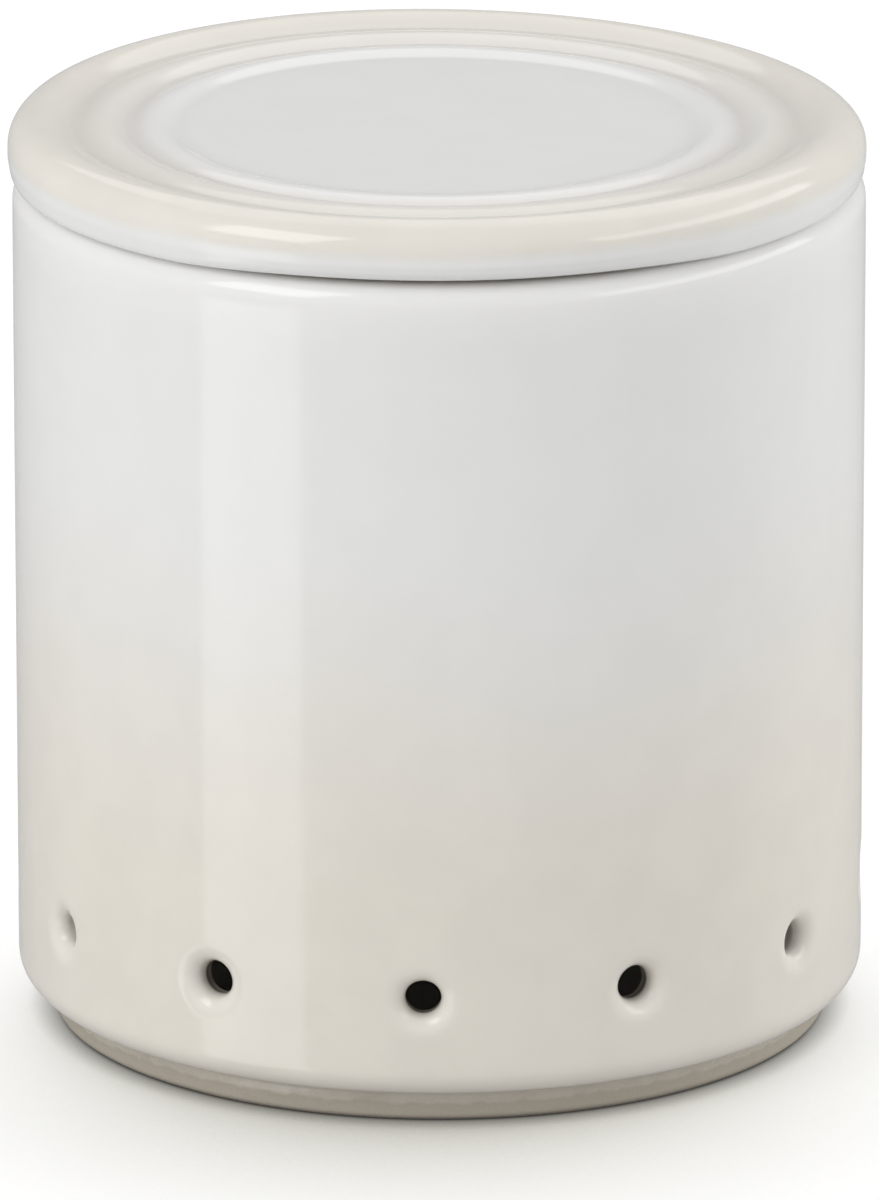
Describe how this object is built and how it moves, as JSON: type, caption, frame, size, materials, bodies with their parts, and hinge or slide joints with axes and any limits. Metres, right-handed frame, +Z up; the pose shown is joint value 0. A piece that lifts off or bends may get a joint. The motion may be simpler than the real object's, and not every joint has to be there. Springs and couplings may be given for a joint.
{
  "type": "garlic keeper",
  "caption": "Round glazed stoneware jar on a low foot ring, with a row of flared air vents near its base and a loose lid with turned rings and a locating rim.",
  "frame": {"origin": "centre of the foot ring's contact plane, on the jar's axis", "axes": "+Z up the jar's axis, one vent faces -Y"},
  "size_m": [0.1212, 0.1212, 0.1313],
  "materials": {
    "jar_glaze": "glossy white glaze turning warm near the base, bare clay on the foot ring",
    "lid_glaze": "glossy white glaze, warmer on the roll and thin on the ring crests"
  },
  "bodies": {
    "jar": {"jar": "jar_glaze"},
    "lid": {"lid": "lid_glaze"}
  },
  "joints": [
    {"name": "lid_lift", "type": "slide", "parent": "jar", "child": "lid", "axis": [0, 0, 1], "range_m": [0, 0.1]}
  ]
}
